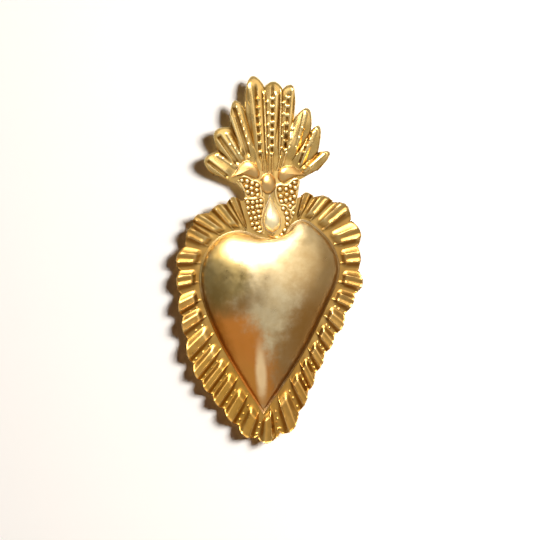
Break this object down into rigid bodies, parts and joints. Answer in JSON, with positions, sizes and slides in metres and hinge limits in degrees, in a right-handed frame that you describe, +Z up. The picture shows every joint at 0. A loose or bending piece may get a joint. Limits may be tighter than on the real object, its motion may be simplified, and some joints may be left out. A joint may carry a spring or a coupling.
{
  "type": "sacred heart wall ornament",
  "caption": "Pressed brass sacred heart milagro: a domed heart in a pleated scalloped border, a fluted flame and a beaded neck cluster, hung on a wall by a swinging ring.",
  "frame": {"origin": "on the flat rear face of the back pan, level with the heart's middle, in the wall's plane", "axes": "+Z up as hung, +X to the viewer's right, +Y into the wall, so the front faces -Y"},
  "size_m": [0.1023, 0.0195, 0.2004],
  "materials": {
    "heart_brass": "polished, unevenly worn gilt",
    "border_brass": "satin gilt, dark in the valleys",
    "flame_brass": "satin gilt, dark in the valleys",
    "wing_brass": "satin gilt, dark between the beads",
    "smooth_brass": "satin gilt",
    "back_brass": "dull, unpolished",
    "ring_wire": "drawn wire, dull"
  },
  "bodies": {
    "charm": {"heart_dome": "heart_brass", "pleated_border": "border_brass", "flame_crown": "flame_brass", "left_wing": "wing_brass", "right_wing": "wing_brass", "left_leaf": "smooth_brass", "right_leaf": "smooth_brass", "oval_boss": "smooth_brass", "drop_boss": "smooth_brass", "cleft_lip": "smooth_brass", "back_pan": "back_brass", "hanging_strap": "back_brass", "strap_rivets": "ring_wire"},
    "ring": {"hanging_ring": "ring_wire"}
  },
  "joints": [
    {"name": "ring_swing", "type": "hinge", "parent": "charm", "child": "ring", "pos_m": [0, -0.003, 0.0575], "axis": [1, 0, 0], "range_deg": [0, 180]}
  ]
}
